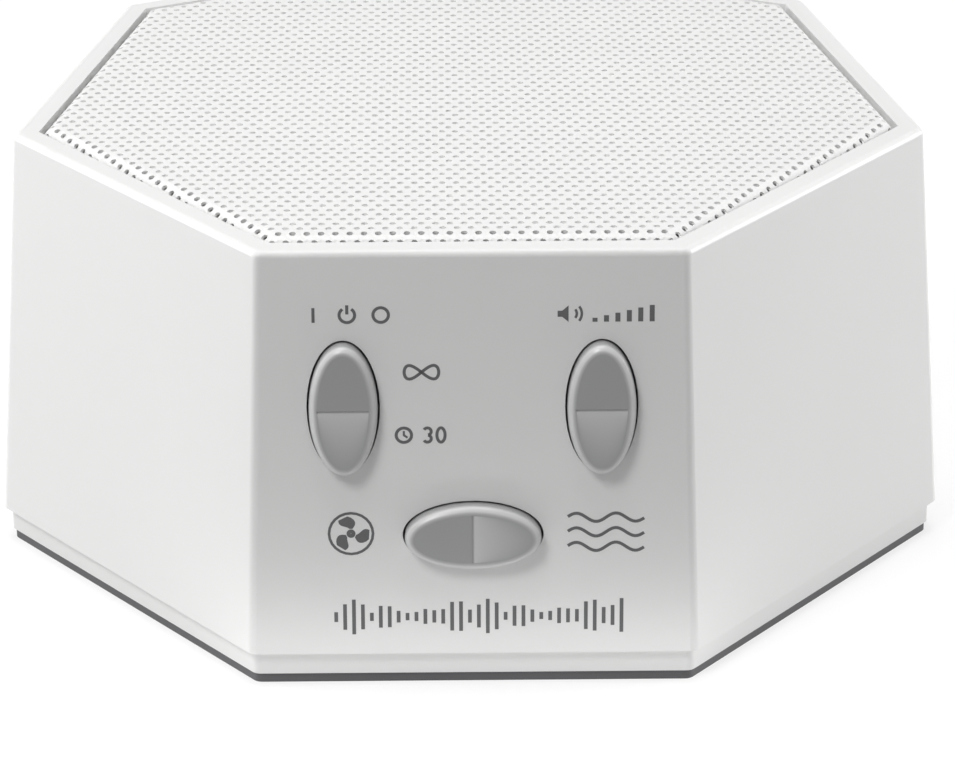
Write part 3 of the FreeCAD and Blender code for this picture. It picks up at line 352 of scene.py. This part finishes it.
def dust_screen():
    """A pale stiff screen bonded under the flat of the sheet, which hides the loudspeaker."""
    corner_reach = (-grille_low[1] - BEND) / math.cos(HALF_TURN)
    top = grille_high[2] - SHEET - SCREEN_GAP
    angles = [-RIGHT_ANGLE + HALF_TURN * (2 * step + 1) for step in range(SIDES)]
    outline = [(corner_reach * math.cos(angle), corner_reach * math.sin(angle)) for angle in angles]
    mesh = bmesh.new()
    lower = [mesh.verts.new((*corner, top - SCREEN_THICKNESS)) for corner in outline]
    upper = [mesh.verts.new((*corner, top)) for corner in outline]
    mesh.faces.new(lower[::-1])
    mesh.faces.new(upper)
    for step in range(SIDES):
        after = (step + 1) % SIDES
        mesh.faces.new([lower[step], lower[after], upper[after], upper[step]])
    add_mesh("dust_screen", mesh, "screen_cloth")


perforated_sheet()
dust_screen()


# Rocker keys, in millimetres: X along the pivot, Y along the long axis and Z out of the front face

KEY_HALF_LENGTH = 7.6
KEY_HALF_WIDTH = 3.8
KEY_CREST = 1.9
KEY_VALLEY = 0.35
KEY_CORNERS = 96
CREASE_HALF = 0.2
CREASE_DEPTH = 0.1
# Share of painted highlight on the row beside the crease
CREASE_HIGHLIGHT = 0.6
CREASE_FADE = 0.6
CREASE_SHARE = 0.4
# The bevelled edge from the wall inwards: each ring's inset, its drop below the face, and how much
# painted highlight it carries
KEY_EDGE = [(0.0, 0.85, 0.1), (0.05, 0.66, 0.5), (0.16, 0.48, 1.0), (0.48, 0.15, 0.9), (0.72, 0.04, 0.35),
            (0.98, 0.0, 0.0)]
FLANGE_MARGIN = 1.1
FLANGE_THICKNESS = 1.0
FLANGE_UNDER = -4.0
FLANGE_MIDDLE = FLANGE_UNDER + FLANGE_THICKNESS / 2
FOOT_RADIUS = 1.3
FOOT_LENGTH = 0.5
SWITCH_LEVER = 5.0
PIVOT_RADIUS = 0.9
PIVOT_HALF = 7.2
DRUM_SEGMENTS = 32


def key_face(along):
    """Height of the key's face, lowest at the valley between its two halves."""
    return KEY_CREST - KEY_VALLEY + KEY_VALLEY * abs(along) / KEY_HALF_LENGTH


def key_ring(mesh, rim, inset, drop, light):
    ring = []
    for step in range(KEY_CORNERS):
        angle = 2 * math.pi * step / KEY_CORNERS
        along = (KEY_HALF_LENGTH - inset) * math.sin(angle)
        across = (KEY_HALF_WIDTH - inset) * math.cos(angle)
        corner = mesh.verts.new((across, along, key_face(along) - drop))
        # How much painted highlight this ring carries
        corner[rim] = light
        ring.append(corner)
    return ring


def key_skin(mesh, ring, after):
    """A smooth band of faces between two rings."""
    for step in range(KEY_CORNERS):
        other = (step + 1) % KEY_CORNERS
        band = mesh.faces.new([ring[step], ring[other], after[other], after[step]])
        band.smooth = True


def key_halves(mesh, rim, edge):
    """The two flat halves inside the edge, with a fine crease where they meet and a painted highlight
    along one side of it.
    """
    columns = []
    for step in range(KEY_CORNERS // 2 + 1):
        upper, lower = edge[step], edge[-step % KEY_CORNERS]
        across, along = upper.co.x, upper.co.y
        if step in (0, KEY_CORNERS // 2):
            columns.append([upper] * 5)
            continue
        half = min(CREASE_HALF, CREASE_SHARE * along)
        depth = CREASE_DEPTH * min(1, along / CREASE_FADE)
        crease = [(half, key_face(half)), (0, key_face(0) - depth), (-half, key_face(half))]
        middle = [mesh.verts.new((across, spot, level)) for spot, level in crease]
        # Painted highlight along one side of the crease
        middle[-1][rim] = CREASE_HIGHLIGHT
        columns.append([upper] + middle + [lower])
    for column, after in zip(columns, columns[1:]):
        for row in range(len(column) - 1):
            corners = [column[row], after[row], after[row + 1], column[row + 1]]
            mesh.faces.new(list(dict.fromkeys(corners)))


def drum(mesh, place, radius, depth, turn=None):
    """A closed round bar centred on its place."""
    bmesh.ops.create_cone(mesh, cap_ends=True, segments=DRUM_SEGMENTS, radius1=radius, radius2=radius,
                          depth=depth, matrix=Matrix.Translation(place) @ (turn or Matrix()))


def rocker_key(node, body, across, up, spin):
    """A key with its bevelled edge, flange, two switch feet and pivot pin."""
    mesh = bmesh.new()
    # Each vertex's share of the painted highlight on the bevel and beside the crease
    rim = mesh.verts.layers.float.new("rim")
    wall_foot = key_ring(mesh, rim, 0, KEY_EDGE[0][1], 0)
    for corner in wall_foot:
        corner.co.z = FLANGE_MIDDLE
    mesh.faces.new(wall_foot[::-1])
    rings = [wall_foot] + [key_ring(mesh, rim, *step) for step in KEY_EDGE]
    for ring, after in zip(rings, rings[1:]):
        key_skin(mesh, ring, after)
    key_halves(mesh, rim, rings[-1])
    oval = Matrix.Diagonal((KEY_HALF_WIDTH + FLANGE_MARGIN, KEY_HALF_LENGTH + FLANGE_MARGIN, 1, 1))
    drum(mesh, (0, 0, FLANGE_MIDDLE), 1, FLANGE_THICKNESS, oval)
    for side in (-1, 1):
        drum(mesh, (0, side * SWITCH_LEVER, FLANGE_UNDER), FOOT_RADIUS, 2 * FOOT_LENGTH)
    drum(mesh, (0, 0, FLANGE_MIDDLE), PIVOT_RADIUS, 2 * PIVOT_HALF, Matrix.Rotation(RIGHT_ANGLE, 4, "Y"))
    bmesh.ops.recalc_face_normals(mesh, faces=mesh.faces[:])
    place = face_matrix(across * MM, up * MM) @ Matrix.Rotation(spin, 4, "Z") @ Matrix.Scale(MM, 4)
    bmesh.ops.transform(mesh, matrix=place, verts=mesh.verts[:])
    piece = add_mesh(node + "_cap", mesh, "grey_key", body)
    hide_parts(node)


# Each key: its node, its body, its place across and up the front face, and its turn there
KEYS = [
    ("power_key", "power_rocker", -14.25, 29.6, 0),
    ("volume_key", "volume_rocker", 14.25, 29.6, 0),
    ("sound_key", "sound_rocker", 0, 14.4, RIGHT_ANGLE),
]
for key in KEYS:
    rocker_key(*key)


# Printed legends: plain pictograms and one plain number, in millimetres and degrees on the front face

INK_HEIGHT = 0.02
INK_DEPTH = 0.01
STROKE = 0.34
GLYPH = 0.85
CURVE_STEPS = 24


def polar(across, up, radius, angle):
    """The point at an angle round a centre."""
    turn = math.radians(angle)
    return (across + radius * math.cos(turn), up + radius * math.sin(turn))


def arc(across, up, radius, start, end):
    """Points along an arc."""
    angles = [start + (end - start) * step / CURVE_STEPS for step in range(CURVE_STEPS + 1)]
    return [polar(across, up, radius, angle) for angle in angles]


def ink_point(place, spot, out):
    return face_point((place[0] + spot[0]) * MM, (place[1] + spot[1]) * MM, out * MM)


def ink(mesh, place, left, right, closed=False):
    """A thin closed band of ink between two rows of points."""
    rings = []
    for first, second in zip(left, right):
        corners = ((first, -INK_DEPTH), (second, -INK_DEPTH), (second, INK_HEIGHT), (first, INK_HEIGHT))
        rings.append([mesh.verts.new(ink_point(place, spot, out)) for spot, out in corners])
    spans = list(zip(rings, rings[1:]))
    if closed:
        spans.append((rings[-1], rings[0]))
    for near, far in spans:
        for side in range(len(near)):
            after = (side + 1) % len(near)
            mesh.faces.new([near[side], near[after], far[after], far[side]])
    if not closed:
        mesh.faces.new(rings[0][::-1])
        mesh.faces.new(rings[-1])


def stroke(mesh, place, points, width=STROKE, closed=False):
    """A line of ink with mitred corners."""
    spots = [Vector(point) for point in points]
    left, right = [], []
    for index, spot in enumerate(spots):
        before = spots[index - 1] if closed or index else None
        after = spots[(index + 1) % len(spots)] if closed or index < len(spots) - 1 else None
        run_in = (spot - before).normalized() if before is not None else (after - spot).normalized()
        run_out = (after - spot).normalized() if after is not None else run_in
        along = (run_in + run_out).normalized()
        reach = Vector((-along.y, along.x)) * (width / 2 / along.dot(run_in))
        left.append(spot + reach)
        right.append(spot - reach)
    ink(mesh, place, left, right, closed)


def circle(mesh, place, across, up, radius, width=STROKE):
    stroke(mesh, place, arc(across, up, radius, 0, 360)[:-1], width, closed=True)


def on_off(mesh, place):
    """The plain signs for on, power and off in a row."""
    spread = 3.7
    open_start, open_end = 125, 415
    stem_low, stem_high = 0.1, 1.15
    stroke(mesh, place, [(-spread, -GLYPH), (-spread, GLYPH)])
    stroke(mesh, place, arc(0, 0, GLYPH, open_start, open_end))
    stroke(mesh, place, [(0, stem_low), (0, stem_high)])
    circle(mesh, place, spread, 0, GLYPH)


def endless(mesh, place):
    """The plain sign for without end."""
    steps = 40
    half_width, half_height = 1.9, 0.8
    angles = [2 * math.pi * step / steps for step in range(steps)]
    points = [(half_width * math.cos(angle), half_height * math.sin(2 * angle)) for angle in angles]
    stroke(mesh, place, points, closed=True)


def timer(mesh, place):
    """A clock face and the number 30."""
    clock, three, zero = -2.4, 0.2, 1.7
    hands = [(clock, 0.5), (clock, 0), (-2.0, -0.3)]
    hand_width = 0.24
    lobe = 0.42
    lobe_outside, lobe_inside = 150, 80
    zero_half = 0.45
    circle(mesh, place, clock, 0, GLYPH)
    stroke(mesh, place, hands, hand_width)
    stroke(mesh, place, arc(three, lobe, lobe, lobe_outside, -lobe_inside))
    stroke(mesh, place, arc(three, -lobe, lobe, lobe_inside, -lobe_outside))
    angles = [2 * math.pi * step / CURVE_STEPS for step in range(CURVE_STEPS)]
    oval = [(zero + zero_half * math.cos(angle), GLYPH * math.sin(angle)) for angle in angles]
    stroke(mesh, place, oval, closed=True)


def loudness(mesh, place):
    """A small loudspeaker and bars that rise."""
    back, throat, mouth = -5.4, -4.9, -4.2
    box_half, mouth_half = 0.35, 0.95
    wave_centre, wave_angle, wave_width = -4.1, 38, 0.28
    wave_radii = (0.8, 1.35)
    bars, bar_width = 6, 0.55
    first_bar, bar_step = -1.3, 1.25
    bar_top, bar_rise = -0.5, 0.29
    horn = [(back, box_half), (throat, box_half), (mouth, mouth_half)]
    ink(mesh, place, horn, [(across, -up) for across, up in horn])
    for radius in wave_radii:
        stroke(mesh, place, arc(wave_centre, 0, radius, -wave_angle, wave_angle), wave_width)
    for step in range(bars):
        across = first_bar + bar_step * step
        stroke(mesh, place, [(across, -mouth_half), (across, bar_top + bar_rise * step)], bar_width)


def fan(mesh, place):
    """A three-bladed fan in its ring."""
    ring_radius, ring_width = 2.45, 0.3
    hub_radius, hub_width = 0.27, 0.46
    blades, steps = 3, 8
    root, length = 0.6, 1.5
    half_spread, first_share, share_range = 34, 0.15, 0.7
    first_blade, blade_turn, sweep = 90, 120, 26
    circle(mesh, place, 0, 0, ring_radius, ring_width)
    circle(mesh, place, 0, 0, hub_radius, hub_width)
    for blade in range(blades):
        left, right = [], []
        for step in range(steps + 1):
            share = step / steps
            reach = root + length * share
            half = half_spread * math.sin(math.pi * (first_share + share_range * share))
            middle = first_blade + blade_turn * blade + sweep * share
            left.append(polar(0, 0, reach, middle + half))
            right.append(polar(0, 0, reach, middle - half))
        ink(mesh, place, left, right)


def waves(mesh, place):
    """Three rolling waves."""
    spacing, rise, wave_length, width = 1.75, 0.5, 4.4, 0.36
    reach, parts = 17, 4
    for row in (-1, 0, 1):
        points = []
        for step in range(-reach, reach + 1):
            across = step / parts
            points.append((across, row * spacing + rise * math.sin(2 * math.pi * across / wave_length)))
        stroke(mesh, place, points, width)


def sound_bars(mesh, place):
    """A row of bars like the picture of a sound."""
    reach, width = 16, 0.42
    shortest, growth = 0.4, 1.75
    fast, shift, slow = 0.83, 0.6, 0.21
    for step in range(-reach, reach + 1):
        half = shortest + growth * abs(math.sin(fast * step + shift) * math.cos(slow * step))
        stroke(mesh, place, [(step, -half), (step, half)], width)


def legend(name, place, draw):
    mesh = bmesh.new()
    draw(mesh, place)
    bmesh.ops.recalc_face_normals(mesh, faces=mesh.faces[:])
    add_mesh(name, mesh, "legend_ink")


# Each legend: its name, its place across and up the front face, and what draws it
LEGENDS = [
    ("legend_on_off", (-13.7, 40.4), on_off),
    ("legend_endless", (-5.6, 33.7), endless),
    ("legend_timer", (-5.2, 26.3), timer),
    ("legend_loudness", (14.75, 40.4), loudness),
    ("legend_fan", (-13.6, 14.6), fan),
    ("legend_waves", (14.8, 14.6), waves),
    ("legend_sound_bars", (0.6, 4.5), sound_bars),
]
for entry in LEGENDS:
    legend(*entry)


# Stage, light and camera

FLOOR_HALF = 3
FLOOR_ROUGHNESS = 0.9
FLOOR_SPECULAR = 0.2
FLOOR_COLOUR = 0.25
FLOOR_BOUNCE = 0.4
FLOOR_LIFT = 0.75
WORLD_LEVEL = 0.157
CENTRE = (0, 0, 0.025)
# A lamp up to this height is a card that only fills shadows, so gloss doesn't show it
CARD_HEIGHT = 0.02
# Each lamp: name, place, point it faces, width, height and power in watts
LAMPS = [
    ("top_light", (-0.05, 0.02, 0.85), CENTRE, 0.5, 0.5, 4.175),
    ("left_light", (-0.8, 0.2, 0.16), CENTRE, 0.3, 0.3, 3.981),
    ("right_light", (0.8, 0.2, 0.16), CENTRE, 0.3, 0.3, 5.167),
    ("front_light", (-0.3, -0.42, 0.62), CENTRE, 0.22, 0.22, 2.335),
    ("foot_card", (0, -0.062, 0.001), (0, -0.052, 0.006), 0.09, 0.005, 0.0035),
]


def stage_floor():
    """A pale floor that shows white to the camera and in gloss, and keeps the shadow."""
    mesh = bmesh.new()
    bmesh.ops.create_grid(mesh, x_segments=1, y_segments=1, size=FLOOR_HALF)
    floor = linked("floor", mesh)
    bounce = (FLOOR_BOUNCE, FLOOR_BOUNCE, FLOOR_BOUNCE)
    seen = (FLOOR_COLOUR, FLOOR_COLOUR, FLOOR_COLOUR)
    result, tree, shader = material("floor_white", bounce, FLOOR_ROUGHNESS)
    shader.inputs["Specular IOR Level"].default_value = FLOOR_SPECULAR
    path = tree.nodes.new("ShaderNodeLightPath")
    either = tree.nodes.new("ShaderNodeMath")
    either.operation = "MAXIMUM"
    tree.links.new(path.outputs["Is Camera Ray"], either.inputs[0])
    tree.links.new(path.outputs["Is Glossy Ray"], either.inputs[1])
    vary_colour(tree, shader, either.outputs[0], bounce, seen)
    glow = tree.nodes.new("ShaderNodeMath")
    glow.operation = "MULTIPLY"
    glow.inputs[1].default_value = FLOOR_LIFT
    tree.links.new(either.outputs[0], glow.inputs[0])
    shader.inputs["Emission Color"].default_value = (1, 1, 1, 1)
    tree.links.new(glow.outputs[0], shader.inputs["Emission Strength"])
    floor.data.materials.append(result)


def white_world():
    """A dim even world that shows white to the camera."""
    world = bpy.data.worlds.new("studio")
    world.use_nodes = True
    bpy.context.scene.world = world
    tree = world.node_tree
    background = tree.nodes["Background"]
    path = tree.nodes.new("ShaderNodeLightPath")
    level = tree.nodes.new("ShaderNodeMapRange")
    level.inputs["To Min"].default_value = WORLD_LEVEL
    level.inputs["To Max"].default_value = 1.0
    tree.links.new(path.outputs["Is Camera Ray"], level.inputs["Value"])
    background.inputs["Color"].default_value = (1, 1, 1, 1)
    tree.links.new(level.outputs["Result"], background.inputs["Strength"])


def softbox(name, place, target, width, height, power):
    data = bpy.data.lights.new(name, "AREA")
    data.shape = "RECTANGLE"
    data.size = width
    data.size_y = height
    data.energy = power
    lamp = bpy.data.objects.new(name, data)
    lamp.location = place
    lamp.rotation_euler = (Vector(target) - Vector(place)).to_track_quat("-Z", "Y").to_euler()
    lamp.visible_camera = False
    lamp.visible_glossy = height > CARD_HEIGHT
    bpy.context.scene.collection.objects.link(lamp)


def photo_camera():
    """The photograph's camera: where it stands, and its yaw, pitch and roll."""
    data = bpy.data.cameras.new("photo_camera")
    data.sensor_width = SENSOR
    data.lens = FOCAL_PIXELS / IMAGE_WIDTH * SENSOR
    data.clip_start = CLIP_START
    camera = bpy.data.objects.new("photo_camera", data)
    bpy.context.scene.collection.objects.link(camera)
    yaw, pitch, roll = CAMERA_YAW, CAMERA_PITCH, CAMERA_ROLL
    right = Vector((math.cos(yaw), -math.sin(yaw), 0))
    ahead = Vector((math.cos(pitch) * math.sin(yaw), math.cos(pitch) * math.cos(yaw), -math.sin(pitch)))
    above = right.cross(ahead)
    across = right * math.cos(roll) + above * math.sin(roll)
    upward = above * math.cos(roll) - right * math.sin(roll)
    place = right * CAMERA_REACH.x + Vector((math.sin(yaw), math.cos(yaw), 0)) * CAMERA_REACH.y
    place += Vector((0, -APOTHEM, CAMERA_REACH.z))
    turn = Matrix((across, upward, -ahead)).transposed()
    camera.matrix_world = Matrix.Translation(place) @ turn.to_4x4()
    bpy.context.scene.camera = camera


stage_floor()
white_world()
for lamp in LAMPS:
    softbox(*lamp)
photo_camera()
bpy.context.scene.view_settings.view_transform = "Standard"
